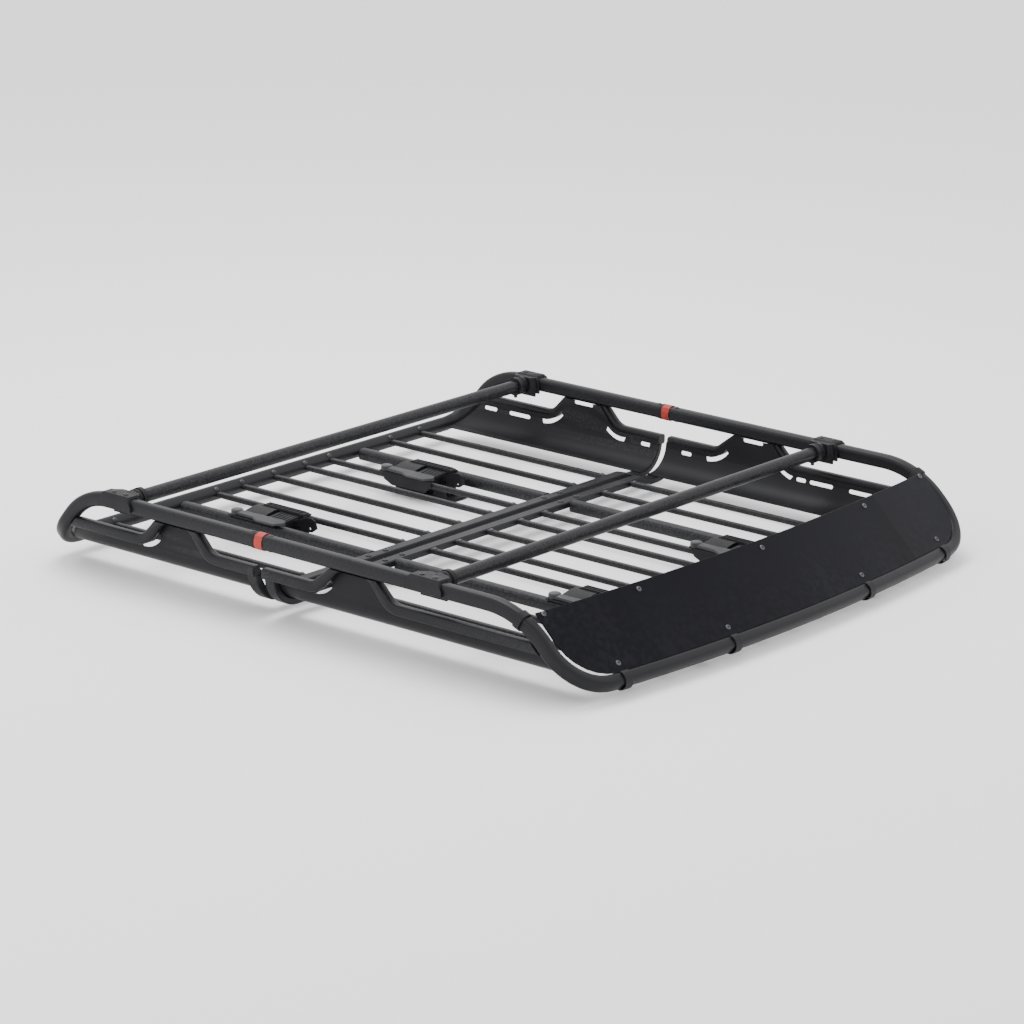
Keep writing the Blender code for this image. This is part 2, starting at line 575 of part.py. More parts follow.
def clamp_body(name, sign, parent):
    """The fixed half: a core between two floor bars, flanges over them, a ribbed ledge and two hinge ears.

    Where the lever's bar is a thin slat, a cheek also hangs outside it. Outlines drawn from the side are
    (along Y, height above the slats' centre), from the clamp's middle.
    """
    left = -MEMBER_X - member_half(sign, -1) - 0.0012
    front, rear = CORE_Y
    floor = CORE_LOW + 0.0005
    core = [(front, CORE_LOW), (rear - 0.0040, CORE_LOW), (rear, CORE_LOW + 0.0040), (rear, 0.0078),
            (front, 0.0078)]
    rear_block = [(-CORE_HALF, 0.0030), (-CORE_HALF, 0.0090), (0.0020, 0.0150), (CORE_HALF - 0.0100, 0.0150),
                  (CORE_HALF - 0.0100, 0.0030)]
    front_block = [(-CORE_HALF, 0.0030), (-CORE_HALF, 0.0084), (0.0020, 0.0118), (CORE_HALF - 0.0100, 0.0118),
                   (CORE_HALF - 0.0100, 0.0030)]
    flange = [(front, BED_LOW), (rear - 0.0060, BED_LOW), (rear - 0.0060, BED_HIGH),
              (front, BED_HIGH)]
    lever_bed = [(front, BED_LOW), (0.0900, BED_LOW), (0.0900, BED_HIGH), (front, BED_HIGH)]
    ledge = [(-0.0310, BED_LOW), (0.0770, BED_LOW), (0.0780, 0.0110), (0.0720, 0.0160), (-0.0260, 0.0160),
             (-0.0310, 0.0120)]
    cheek = [(-0.0440, BED_HIGH - 0.0005), (-0.0440, 0.0), (-0.0280, -0.0150), (0.0560, -0.0150),
             (0.0760, -0.0060), (0.0840, BED_HIGH - 0.0005)]
    tall_ear = [(front + 0.0060, floor), (front + 0.0060, 0.0040), (-0.0620, 0.0208), (-0.0700, 0.0212),
                (-0.0800, 0.0175), (-0.0846, 0.0022), (-0.0731, -0.0060), (-0.0420, floor)]
    low_ear = [(front + 0.0060, floor), (front + 0.0060, -0.0010), (-0.0320, 0.0010), (-0.0370, 0.0012),
               (-0.0408, -0.0020), (-0.0405, -0.0070), (-0.0370, floor)]
    bm = bmesh.new()
    prism(bm, core, "x", -CORE_HALF, CORE_HALF)
    body = add_object(name, bm, "black_casting", parent)
    parts = [
        (rear_block, "y", 0.0300, rear - 0.0010),
        (front_block, "y", front + 0.0010, 0.0230),
        (lever_bed, "x", left + 0.0012, -CORE_HALF + 0.0040),
        (flange, "x", CORE_HALF - 0.0040, MEMBER_X),
        (ledge, "x", LEDGE_X[0], LEDGE_X[1]),
        (tall_ear, "x", EAR_X[0] - EAR_THICK, EAR_X[0]),
        (low_ear, "x", EAR_X[1], EAR_X[1] + EAR_THICK),
    ]
    if sign > 0:
        parts.append((lever_bed, "x", left - CHEEK_THICK / 2, left + 0.0020))
        parts.append((cheek, "x", left - CHEEK_THICK, left))
    for number, (outline, axis, low, high) in enumerate(parts, 1):
        bm = bmesh.new()
        prism(bm, outline, axis, low, high)
        boolean(body, "UNION", add_object(f"{name}_shape_{number}", bm, None, parent, hide=True))
    for word, place, radius in (("pivot", JAW_PIVOT, PIVOT_BORE), ("eye", EAR_EYE, EYE_BORE)):
        bm = bmesh.new()
        prism(bm, arc(place, radius, 0, 324, 9), "x", EAR_X[0] - 2 * EAR_THICK, CORE_HALF)
        boolean(body, "DIFFERENCE", add_object(f"{name}_{word}", bm, None, parent, hide=True))


def clamp_jaw(name, parent):
    """The lower jaw: a knuckle between the ears, a neck, a long flat plate and an upturned rear lip."""
    py, pz = JAW_PIVOT
    neck = arc((0, 0), KNUCKLE, 170, -20, 8)
    neck += [(0.0080, JAW_TOP - pz + 0.0020), (0.0140, JAW_LOW - pz + 0.0010), (0.0040, JAW_LOW - pz + 0.0010),
             (-0.0060, JAW_TOP - pz)]
    plate = [(-0.0600, JAW_LOW), (0.0640, JAW_LOW), (0.0720, JAW_LOW + 0.0060), (0.0740, -0.0180),
             (0.0700, -0.0135), (0.0650, -0.0135), (0.0620, -0.0200), (0.0590, JAW_TOP), (-0.0640, JAW_TOP),
             (-0.0660, JAW_TOP - 0.0030)]
    bm = bmesh.new()
    prism(bm, [(y - py, z - pz) for y, z in plate], "x", JAW_X[0], JAW_X[1])
    jaw = add_object(name, bm, "black_casting", parent)
    jaw.location = (0, py, pz)
    bm = bmesh.new()
    prism(bm, neck, "x", EAR_X[0] + GAP, EAR_X[1] - GAP)
    solid = add_object(f"{name}_neck", bm, None, jaw, hide=True)
    boolean(jaw, "UNION", solid)
    flange = [(-0.0600, JAW_LOW + 0.0010), (-0.0560, -0.0150), (-0.0500, -0.0135), (-0.0340, -0.0135),
              (-0.0250, -0.0200), (-0.0200, JAW_LOW + 0.0010)]
    bm = bmesh.new()
    prism(bm, [(y - py, z - pz) for y, z in flange], "x", JAW_X[0] + 0.0005, JAW_X[0] + 0.0050)
    boolean(jaw, "UNION", add_object(f"{name}_flange", bm, None, jaw, hide=True))


def clamp_lever(name, parent):
    """A blade on a domed boss: narrow near the boss, then wide, sloping to its outer edge."""
    inner = [(0.0030, 0.0), (0.0030, -0.0450), (0.0050, -0.0620), (0.0050, -0.1160), (0.0010, -0.1230)]
    outer = [(-0.0090, 0.0), (-0.0100, -0.0480), (-0.0170, -0.0640), (-0.0170, -0.1080), (-0.0040, -0.1230)]
    bm = bmesh.new()
    rings = []
    for (right, y), (left, outer_y) in zip(inner, outer):
        low = LEVER_THICK * (0.45 if left < -0.0105 else 0.70)
        points = [(right, y, 0.0005), (right, y, LEVER_THICK), (left, outer_y, low), (left, outer_y, 0.0005)]
        rings.append([bm.verts.new(point) for point in points])
    for ring, following in zip(rings, rings[1:]):
        for k in range(4):
            after = (k + 1) % 4
            bm.faces.new((ring[k], ring[after], following[after], following[k]))
    bm.faces.new(rings[0])
    bm.faces.new(rings[-1])
    bmesh.ops.triangulate(bm, faces=bm.faces)
    lever = add_object(name, bm, "black_casting", parent)
    lever.location = LEVER_PIVOT
    bm = bmesh.new()
    levels = ((BOSS_RADIUS, 0.0), (BOSS_RADIUS, 0.0070), (BOSS_RADIUS * 0.86, 0.0092),
              (BOSS_RADIUS * 0.5, 0.0102))
    rings = [[bm.verts.new((x, y, z)) for x, y in arc((0, 0), r, 0, 340, 17)] for r, z in levels]
    for ring, above in zip(rings, rings[1:]):
        for k in range(len(ring)):
            after = (k + 1) % len(ring)
            bm.faces.new((ring[k], ring[after], above[after], above[k]))
    bm.faces.new(rings[0])
    bm.faces.new(rings[-1])
    boolean(lever, "UNION", add_object(f"{name}_boss", bm, None, lever, hide=True))


def make_clamps():
    for place, y in CLAMP_Y.items():
        sign = 1 if place.endswith("right") else -1
        slider = add_empty(f"clamp_slider_{place}", (sign * CLAMP_X, SPLIT_Y + y, DECK_Z))
        clamp_body(f"clamp_body_{place}", sign, slider)
        clamp_jaw(f"clamp_jaw_{place}", slider)
        clamp_lever(f"clamp_lever_{place}", slider)


def main():
    clear_scene()
    make_hoops()
    make_sides()
    make_floor()
    make_couplers()
    make_load_bars()
    make_fairing()
    make_fairing_clips()
    make_clamps()


main()
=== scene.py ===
"""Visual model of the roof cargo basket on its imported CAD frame, with studio lights and the camera."""
import json
import math

import bmesh
import bpy
from mathutils import Matrix, Vector


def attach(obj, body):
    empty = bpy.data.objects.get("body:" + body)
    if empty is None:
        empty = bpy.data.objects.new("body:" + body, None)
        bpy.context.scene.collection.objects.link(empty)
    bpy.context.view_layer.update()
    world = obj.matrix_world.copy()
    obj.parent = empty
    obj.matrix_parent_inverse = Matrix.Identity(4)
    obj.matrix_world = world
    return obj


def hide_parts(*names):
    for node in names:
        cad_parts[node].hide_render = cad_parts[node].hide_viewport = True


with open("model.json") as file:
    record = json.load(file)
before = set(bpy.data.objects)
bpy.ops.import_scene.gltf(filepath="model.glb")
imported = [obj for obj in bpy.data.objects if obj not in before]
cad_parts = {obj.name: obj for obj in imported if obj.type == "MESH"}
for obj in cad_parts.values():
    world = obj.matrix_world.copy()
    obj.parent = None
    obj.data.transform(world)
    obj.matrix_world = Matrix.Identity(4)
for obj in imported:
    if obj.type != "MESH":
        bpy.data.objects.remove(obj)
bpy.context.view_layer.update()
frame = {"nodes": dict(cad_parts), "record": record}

NODES = frame["nodes"]
BODIES = frame["record"]["behaviour"]["bodies"]
BODY_OF = {node: body for body, members in BODIES.items() for node in members}

# --- Dimensions shared with the CAD, in metres --------------------------------------------------------
GAP = 0.0003
DECK_Z = 0.038
RAIL_X, RAIL_Z = 0.600, DECK_Z + 0.110
SPLIT_Y = 0.1169
TUBE_WIDE, TUBE_TALL, TUBE_ROUND = 0.0250, 0.0275, 0.0090
BOTTOM_STEPS = 24  # straight lengths that make up a hoop's bottom tube
REAR_TOP, REAR_FOOT, REAR_RADII = 0.437, 0.527, (0.118, 0.068)
FRONT_TOP, FRONT_FOOT, FRONT_RADII = -0.598, -0.7185, (0.178, 0.094)
FRONT_BOW, FRONT_DROP = 0.0424, 0.0085
FRONT_FOOT_Z = DECK_Z - FRONT_DROP
FRONT_SLOPE = math.atan2(RAIL_Z - FRONT_FOOT_Z, FRONT_TOP - FRONT_FOOT)
SLAT_X = (-0.4455, -0.3531, -0.1651, -0.0924, 0.0, 0.0924, 0.1651, 0.3531, 0.4455)
SLAT_TOP = DECK_Z + 0.00525
MEMBER_TOP = DECK_Z + 0.0060
MOUNT_X = 0.2600
BAR_Y = {"rear": 0.350, "front": -0.392}
BAR_RADIUS, BAR_WALL, BAR_END_X = 0.0130, 0.0016, 0.5720
CLAMP_X = 0.21255
CLAMP_Y = {"rear_left": 0.295, "rear_right": 0.286, "front_left": -0.480, "front_right": -0.480}
HANDS = {"left": -1, "right": 1}
FAIRING_FACE = 0.0120
TUBE_TOP = RAIL_Z + TUBE_TALL / 2
SADDLE_TOP = TUBE_TOP + 0.0050


# --- Materials ----------------------------------------------------------------------------------------
def finish(name, colour, roughness, metallic=0.0, *, tint=0.35, grain=900.0, bump=0.10, patch=9.0,
           rough_span=0.10, edge=None, specular=0.5):
    """A coated or moulded surface: fine grain, slow patches of colour, uneven gloss and lighter edges, which
    are rubbed coating on most finishes and a painted highlight on the fairing.
    """
    mat = bpy.data.materials.new(name)
    mat.use_nodes = True
    tree = mat.node_tree
    nodes, links = tree.nodes, tree.links
    shader = nodes["Principled BSDF"]
    shader.inputs["Metallic"].default_value = metallic
    shader.inputs["Specular IOR Level"].default_value = specular
    place = nodes.new("ShaderNodeTexCoord")

    def noise(scale, detail, rough=0.5):
        node = nodes.new("ShaderNodeTexNoise")
        node.inputs["Scale"].default_value = scale
        node.inputs["Detail"].default_value = detail
        node.inputs["Roughness"].default_value = rough
        links.new(place.outputs["Object"], node.inputs["Vector"])
        return node

    def spread(source, low, high, out_low, out_high):
        node = nodes.new("ShaderNodeMapRange")
        node.inputs["From Min"].default_value = low
        node.inputs["From Max"].default_value = high
        node.inputs["To Min"].default_value = out_low
        node.inputs["To Max"].default_value = out_high
        links.new(source, node.inputs["Value"])
        return node.outputs["Result"]

    slow = noise(patch, 4.0)
    fine = noise(grain, 3.0, 0.6)
    specks = noise(grain * 0.35, 2.0)
    ramp = nodes.new("ShaderNodeValToRGB")
    ramp.color_ramp.elements[0].position = 0.30
    ramp.color_ramp.elements[1].position = 0.72
    ramp.color_ramp.elements[0].color = (*[c * (1 - tint) for c in colour], 1)
    ramp.color_ramp.elements[1].color = (*[c * (1 + tint) for c in colour], 1)
    links.new(slow.outputs["Fac"], ramp.inputs["Fac"])
    colour_out = ramp.outputs["Color"]
    # Lighter colour on sharp edges: rubbed coating on most finishes, and a painted highlight along the
    # fairing's rim.
    if edge:
        shape = nodes.new("ShaderNodeNewGeometry")
        edge_wear_and_highlight = nodes.new("ShaderNodeMix")
        edge_wear_and_highlight.data_type = "RGBA"
        edge_wear_and_highlight.inputs[7].default_value = (*edge, 1)
        wear_and_highlight_mask = nodes.new("ShaderNodeMath")
        wear_and_highlight_mask.operation = "MULTIPLY"
        links.new(spread(shape.outputs["Pointiness"], 0.535, 0.60, 0.0, 0.75), wear_and_highlight_mask.inputs[0])
        links.new(spread(specks.outputs["Fac"], 0.42, 0.62, 0.15, 1.0), wear_and_highlight_mask.inputs[1])
        links.new(wear_and_highlight_mask.outputs["Value"], edge_wear_and_highlight.inputs["Factor"])
        links.new(colour_out, edge_wear_and_highlight.inputs[6])
        colour_out = edge_wear_and_highlight.outputs[2]
    links.new(colour_out, shader.inputs["Base Color"])
    gloss = (roughness - rough_span / 2, roughness + rough_span / 2)
    links.new(spread(specks.outputs["Fac"], 0.3, 0.7, *gloss), shader.inputs["Roughness"])
    relief = nodes.new("ShaderNodeBump")
    relief.inputs["Strength"].default_value = bump
    relief.inputs["Distance"].default_value = 0.0004
    links.new(fine.outputs["Fac"], relief.inputs["Height"])
    links.new(relief.outputs["Normal"], shader.inputs["Normal"])
    return mat


MATERIALS = {
    "black_steel": finish(
        "black_powder_coat", (0.0085, 0.0085, 0.0102), 0.40, edge=(0.028, 0.028, 0.030),
        tint=0.16, grain=700, bump=0.07, rough_span=0.05, specular=0.17),
    "panel_steel": finish(
        "black_powder_coat_sheet", (0.0078, 0.0078, 0.0092), 0.46, edge=(0.024, 0.024, 0.026),
        tint=0.20, grain=700, bump=0.08, patch=5.0, rough_span=0.06, specular=0.15),
    "black_casting": finish(
        "moulded_black_nylon", (0.0085, 0.0085, 0.0102), 0.50, edge=(0.024, 0.024, 0.025),
        tint=0.22, grain=1500, bump=0.24, patch=25.0, rough_span=0.08, specular=0.16),
    "lever_casting": finish(
        "moulded_lever", (0.023, 0.023, 0.026), 0.38, edge=(0.045, 0.045, 0.047),
        tint=0.20, grain=1800, bump=0.14, patch=30.0, rough_span=0.08, specular=0.45),
    # The fairing's pale edge colour is a painted highlight along its rim.
    "fairing_black": finish(
        "fairing_sheet", (0.0019, 0.0018, 0.0042), 0.38, edge=(0.030, 0.030, 0.036),
        tint=0.20, grain=260, bump=0.02, patch=2.2, rough_span=0.06, specular=0.07),
    "red_band": finish(
        "red_plastic_band", (0.30, 0.026, 0.018), 0.42, edge=(0.38, 0.07, 0.05),
        tint=0.14, grain=1200, bump=0.12, patch=40.0, specular=0.25),
    "black_zinc": finish(
        "black_zinc_screw", (0.030, 0.030, 0.034), 0.34, 0.6, edge=(0.11, 0.11, 0.115),
        grain=2500, bump=0.08, patch=60.0, specular=0.4),
    "grey_zinc": finish(
        "grey_zinc_screw", (0.080, 0.080, 0.090), 0.34, 0.8, edge=(0.18, 0.18, 0.19),
        grain=2500, bump=0.08, patch=80.0),
}


def slot_of(node):
    for entry in frame["record"]["subparts"]:
        if entry["node"] == node:
            return entry["material_slot"]
    return "black_steel"


# --- Mesh helpers -------------------------------------------------------------------------------------
def add_piece(name, bm, finish_name, body, *, replaces=(), bevel=0.0, segments=2, smooth=35):
    bmesh.ops.recalc_face_normals(bm, faces=bm.faces)
    mesh = bpy.data.meshes.new(name)
    bm.to_mesh(mesh)
    bm.free()
    obj = bpy.data.objects.new(name, mesh)
    bpy.context.scene.collection.objects.link(obj)
    obj.data.materials.append(MATERIALS[finish_name])
    if bevel:
        soft = obj.modifiers.new("soft_edges", "BEVEL")
        soft.width = bevel
        soft.segments = segments
        soft.limit_method = "ANGLE"
        soft.angle_limit = math.radians(32)
        soft.use_clamp_overlap = True
        soft.harden_normals = False
    mesh.shade_smooth()
    mesh.set_sharp_from_angle(angle=math.radians(smooth))
    if replaces:
        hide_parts(*replaces)
    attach(obj, body)
    return obj


def refine(node, bevel=0.0006, segments=2, smooth=35):
    """A copy of a CAD node with soft edges and smooth round faces, which stands for it."""
    bm = bmesh.new()
    bm.from_mesh(NODES[node].data)
    bmesh.ops.remove_doubles(bm, verts=bm.verts, dist=0.000002)
    bmesh.ops.dissolve_limit(bm, angle_limit=math.radians(1.0), verts=bm.verts, edges=bm.edges)
    finish_name = "lever_casting" if node.startswith("clamp_lever") else slot_of(node)
    return add_piece(f"{node}_shape", bm, finish_name, BODY_OF[node], replaces=(node,), bevel=bevel,
                     segments=segments, smooth=smooth)


def rounded_rect(wide, tall, radius, steps=5):
    points = []
    for corner in range(4):
        turn = corner * math.pi / 2
        sign_u = 1 if corner in (0, 3) else -1
        sign_v = 1 if corner in (0, 1) else -1
        centre = (sign_u * (wide / 2 - radius), sign_v * (tall / 2 - radius))
        for step in range(steps + 1):
            angle = turn + step * math.pi / 2 / steps
            points.append((centre[0] + radius * math.cos(angle), centre[1] + radius * math.sin(angle)))
    return points


def arc(centre, radius, start, end, steps):
    angles = [math.radians(start + (end - start) * i / steps) for i in range(steps + 1)]
    return [(centre[0] + radius * math.cos(a), centre[1] + radius * math.sin(a)) for a in angles]


def fillet_path(corners, radii, steps=18):
    path = [corners[0].copy()]
    for before, here, after, radius in zip(corners, corners[1:], corners[2:], radii):
        if not radius:
            path.append(here.copy())
            continue
        back = (before - here).normalized()
        ahead = (after - here).normalized()
        half = back.angle(ahead) / 2
        centre = here + (back + ahead).normalized() * radius / math.sin(half)
        start = here + back * radius / math.tan(half) - centre
        axis = back.cross(ahead)
        turn = math.pi - 2 * half
        for step in range(steps + 1):
            path.append(centre + Matrix.Rotation(-turn * step / steps, 3, axis) @ start)
    path.append(corners[-1].copy())
    return path


def sweep(path, section, side):
    """Runs a section along a path with no twist and closes both ends."""
    bm = bmesh.new()
    rings = []
    last = None
    for i, point in enumerate(path):
        arriving = (point - path[i - 1]).normalized() if i else None
        leaving = (path[i + 1] - point).normalized() if i + 1 < len(path) else None
        ahead = ((arriving or leaving) + (leaving or arriving)).normalized()
        if last:
            side = last.rotation_difference(ahead) @ side
        side = (side - ahead * side.dot(ahead)).normalized()
        up = ahead.cross(side)
        rings.append([bm.verts.new(point + side * u + up * v) for u, v in section])
        last = ahead
    for ring, following in zip(rings, rings[1:]):
        for k in range(len(section)):
            after = (k + 1) % len(section)
            bm.faces.new((ring[k], ring[after], following[after], following[k]))
    bm.faces.new(rings[0])
    bm.faces.new(rings[-1])
    return bm


def lathe(bm, profile, matrix, steps=24):
    """Adds a turned solid: profile points are (radius, height) along the matrix's Z axis."""
    rings = []
    for radius, height in profile:
        ring = []
        for x, y in arc((0, 0), radius, 0, 360 - 360 / steps, steps - 1):
            ring.append(bm.verts.new(matrix @ Vector((x, y, height))))
        rings.append(ring)
    for ring, above in zip(rings, rings[1:]):
        for k in range(steps):
            after = (k + 1) % steps
            bm.faces.new((ring[k], ring[after], above[after], above[k]))
    bm.faces.new(rings[0])
    bm.faces.new(rings[-1])


def facing(place, normal, spin=0.0):
    """A matrix at a place whose Z axis is the normal."""
    turn = Vector((0, 0, 1)).rotation_difference(Vector(normal).normalized()).to_matrix().to_4x4()
    return Matrix.Translation(place) @ turn @ Matrix.Rotation(spin, 4, "Z")


def button_head(bm, matrix, radius, height):
    """A domed screw head with a round-bottomed socket."""
    profile = [(radius, -0.0002), (radius, height * 0.25), (radius * 0.93, height * 0.62),
               (radius * 0.74, height * 0.90), (radius * 0.50, height), (radius * 0.40, height),
               (radius * 0.34, height * 0.40)]
    lathe(bm, profile, matrix)


def block(bm, low, high):
    """Adds a box between two corners."""
    ends = []
    for z in (low[2], high[2]):
        ends.append([bm.verts.new((x, y, z)) for x, y in
                     ((low[0], low[1]), (high[0], low[1]), (high[0], high[1]), (low[0], high[1]))])
    for k in range(4):
        after = (k + 1) % 4
        bm.faces.new((ends[0][k], ends[0][after], ends[1][after], ends[1][k]))
    bm.faces.new(ends[0])
    bm.faces.new(ends[1])


def prism(bm, outline, low, high, place):
    """Adds an outline drawn in a plane, run from low to high across it; place gives each point."""
    ends = [[bm.verts.new(place(u, v, w)) for u, v in outline] for w in (low, high)]
    for k in range(len(outline)):
        after = (k + 1) % len(outline)
        bm.faces.new((ends[0][k], ends[0][after], ends[1][after], ends[1][k]))
    bm.faces.new(ends[0])
    bm.faces.new(ends[1])


# --- Tubes --------------------------------------------------------------------------------------------
def hoop(name, top, foot, foot_z, bow, radii, along):
    """One bent-tube half, from the joint in one top rail round its end to the joint in the other."""
    start = SPLIT_Y + along * GAP
    reach = RAIL_X - radii[1] - 0.020
    bottom = []
    for i in range(BOTTOM_STEPS + 1):
        x = -reach + 2 * reach * i / BOTTOM_STEPS
        bottom.append(Vector((x, SPLIT_Y + foot + along * bow * (1 - (x / RAIL_X) ** 2), foot_z)))
    left = [
        Vector((-RAIL_X, start, RAIL_Z)),
        Vector((-RAIL_X, SPLIT_Y + top, RAIL_Z)),
        Vector((-RAIL_X, SPLIT_Y + foot, foot_z)),
    ]
    right = [Vector((RAIL_X, p.y, p.z)) for p in reversed(left)]
    bends = [radii[0], radii[1]] + [0] * len(bottom) + [radii[1], radii[0]]
    path = fillet_path(left + bottom + right, bends)
    bm = sweep(path, rounded_rect(TUBE_WIDE, TUBE_TALL, TUBE_ROUND, 6), Vector((1, 0, 0)))
    add_piece(f"{name}_tube", bm, "black_steel", "frame", replaces=(name,))
    return path


hoop("rear_hoop", REAR_TOP, REAR_FOOT, DECK_Z, 0.0, REAR_RADII, 1)
FRONT_PATH = hoop("front_hoop", FRONT_TOP, FRONT_FOOT, FRONT_FOOT_Z, FRONT_BOW, FRONT_RADII, -1)

BAR_STEPS = 64
BAR_BORE = BAR_RADIUS - BAR_WALL
BAR_RINGS = (
    (BAR_BORE, -BAR_END_X), (BAR_RADIUS, -BAR_END_X),
    (BAR_RADIUS, BAR_END_X), (BAR_BORE, BAR_END_X),
)
for place, y in BAR_Y.items():
    bm = bmesh.new()
    rings = []
    for radius, x in BAR_RINGS:
        circle = arc((0, 0), radius, 0, 360 - 360 / BAR_STEPS, BAR_STEPS - 1)
        rings.append([bm.verts.new((x, SPLIT_Y + y + u, RAIL_Z + v)) for u, v in circle])
    for ring, following in zip(rings, rings[1:] + rings[:1]):
        for k in range(len(ring)):
            after = (k + 1) % len(ring)
            bm.faces.new((ring[k], ring[after], following[after], following[k]))
    add_piece(f"load_bar_{place}_tube", bm, "black_steel", f"{place}_load_bar",
              replaces=(f"load_bar_{place}",))

# Bevel width of each kind of piece. The rails, members and slats keep the CAD's own rounding.
SOFT = {
    "side_rail": 0.0, "side_panel": 0.0005, "middle_member": 0.0, "mount_rail": 0.0, "slat": 0.0,
    "rail_coupler": 0.0005, "bar_bracket": 0.0008, "fairing": 0.0006, "fairing_clip": 0.0004,
    "clamp_body": 0.0007, "clamp_jaw": 0.0007, "clamp_lever": 0.0008,
}
for node in sorted(NODES):
    if NODES[node].hide_render:
        continue
    soft = max((key for key in SOFT if node.startswith(key)), key=len)
    refine(node, SOFT[soft])


# --- Fairing fittings ---------------------------------------------------------------------------------
# Each screw's distance from the middle and up the fairing's slope; all but the middle one are in pairs.
FAIRING_SCREWS = ((0.2065, 0.0265), (0.4900, 0.0265), (0.0, 0.1441), (0.3450, 0.1445), (0.5730, 0.1495))
CORNER_CLIP_Z = DECK_Z + 0.0930
CORNER_TAB_UP = (0.1420, 0.1560)
CORNER_TAB_X = (0.5640, RAIL_X - 0.0150)
CORNER_TAB_OUT = (0.0068, 0.0090)
CORNER_BAND = ((0.0154, -0.0070), (0.0176, -0.0070), (0.0176, 0.0070), (0.0154, 0.0070))
FAIRING_HEAD = (0.0052, 0.0020)  # radius and height of a screw head


def on_slope(x, up_slope, out):
    """A point on the fairing: up the hoop's slope from the front tube, and off it forwards."""
    front_y = SPLIT_Y + FRONT_FOOT - FRONT_BOW * (1 - (x / RAIL_X) ** 2)
    return Vector((
        x,
        front_y + up_slope * math.cos(FRONT_SLOPE) - out * math.sin(FRONT_SLOPE),
        FRONT_FOOT_Z + up_slope * math.sin(FRONT_SLOPE) + out * math.cos(FRONT_SLOPE),
    ))


def fairing_normal(x):
    """The way the fairing faces at a distance from its middle."""
    ahead = on_slope(x + 0.001, 0, 0) - on_slope(x - 0.001, 0, 0)
    up_slope = Vector((0, math.cos(FRONT_SLOPE), math.sin(FRONT_SLOPE)))
    return ahead.cross(up_slope).normalized()


bm = bmesh.new()
for x, up_slope in FAIRING_SCREWS:
    for side in {-1, 1} if x else {1}:
        seat = on_slope(side * x, up_slope, FAIRING_FACE)
        button_head(bm, facing(seat, fairing_normal(side * x)), *FAIRING_HEAD)
add_piece("fairing_screws", bm, "grey_zinc", "frame")

for hand, side in HANDS.items():
    legs = [i for i, p in enumerate(FRONT_PATH[:-1]) if p.x * side > RAIL_X - 0.001 and i]
    i = min(legs, key=lambda k: abs(FRONT_PATH[k].z - CORNER_CLIP_Z))
    along = FRONT_PATH[i + 1] - FRONT_PATH[i - 1]
    bm = bmesh.new()
    lathe(bm, CORNER_BAND, facing(FRONT_PATH[i], along), 40)
    tab = [(CORNER_TAB_X[1], CORNER_TAB_UP[0]), (CORNER_TAB_X[1], CORNER_TAB_UP[1]),
           (CORNER_TAB_X[0], CORNER_TAB_UP[1]), (CORNER_TAB_X[0], CORNER_TAB_UP[0])]
    prism(bm, tab, *CORNER_TAB_OUT, lambda u, v, w: on_slope(side * u, v, w))
    add_piece(f"fairing_corner_clip_{hand}", bm, "black_casting", "frame", bevel=0.0005)


# --- Floor fittings -----------------------------------------------------------------------------------
REAR_NUB_LEAN = Vector((0, math.cos(math.radians(136)), math.sin(math.radians(136))))
REAR_NUB_OUT = Matrix.Translation((0, 0, TUBE_WIDE / 2))
SLAT_MEMBER_END = 0.0403  # from the joint between the halves
REAR_NUB = (0.0056, 0.0034)  # radius and height
MEMBER_NUB = (0.0046, 0.0022)
MEMBER_RIVET_Y, MEMBER_RIVET_STEP = 0.0205, 0.024
MEMBER_RIVET = (0.0058, 0.0026)


def dome(bm, matrix, radius, height):
    lathe(bm, [(radius, -0.0003), (radius * 0.92, height * 0.5), (radius * 0.6, height * 0.92),
               (radius * 0.2, height)], matrix, 16)


bm = bmesh.new()
for x in SLAT_X:
    tube_middle = Vector((x, SPLIT_Y + REAR_FOOT, DECK_Z))
    dome(bm, facing(tube_middle, REAR_NUB_LEAN) @ REAR_NUB_OUT, *REAR_NUB)
    for side in (-1, 1):
        slat_end = (x, SPLIT_Y + side * SLAT_MEMBER_END, SLAT_TOP)
        dome(bm, Matrix.Translation(slat_end), *MEMBER_NUB)
for x in (-MOUNT_X, MOUNT_X):
    for step in (-MEMBER_RIVET_STEP, MEMBER_RIVET_STEP):
        for side in (-1, 1):
            seat = (x + step, SPLIT_Y + side * MEMBER_RIVET_Y, MEMBER_TOP)
            button_head(bm, Matrix.Translation(seat), *MEMBER_RIVET)
add_piece("floor_rivets", bm, "black_zinc", "frame")


# --- Coupler collars and bracket fittings -------------------------------------------------------------
def collar(bm, x, low_y, high_y, wall):
    """A band round a top rail, open so that the rail runs through it."""
    outer = rounded_rect(TUBE_WIDE + 2 * wall, TUBE_TALL + 2 * wall, TUBE_ROUND + wall)
    inner = rounded_rect(TUBE_WIDE + 0.0004, TUBE_TALL + 0.0004, TUBE_ROUND)
    rings = [[bm.verts.new((x + u, y, RAIL_Z + v)) for u, v in points]
             for points, y in ((inner, low_y), (outer, low_y), (outer, high_y), (inner, high_y))]
    for ring, following in zip(rings, rings[1:] + rings[:1]):
        for k in range(len(ring)):
            after = (k + 1) % len(ring)
            bm.faces.new((ring[k], ring[after], following[after], following[k]))


COLLAR_Y, COLLAR_WALL = (0.0045, 0.0105), 0.0013
COUPLER_SCREW_Y, COUPLER_SCREW = (-0.0250, 0.0180), (0.0042, 0.0018)
BRACKET_SCREW_STEP, BRACKET_SCREW = 0.0150, (0.0048, 0.0022)
SOCKET_SCREW_X, SOCKET_SCREW_DROP = 0.5500, 0.0160
SOCKET_SCREW = ((0.0036, 0.0), (0.0036, 0.0068), (0.0028, 0.0078))
SOCKET_RING_X = 0.5620
SOCKET_RING = ((0.0165, -0.0016), (0.0180, -0.0012), (0.0180, 0.0012), (0.0165, 0.0016))

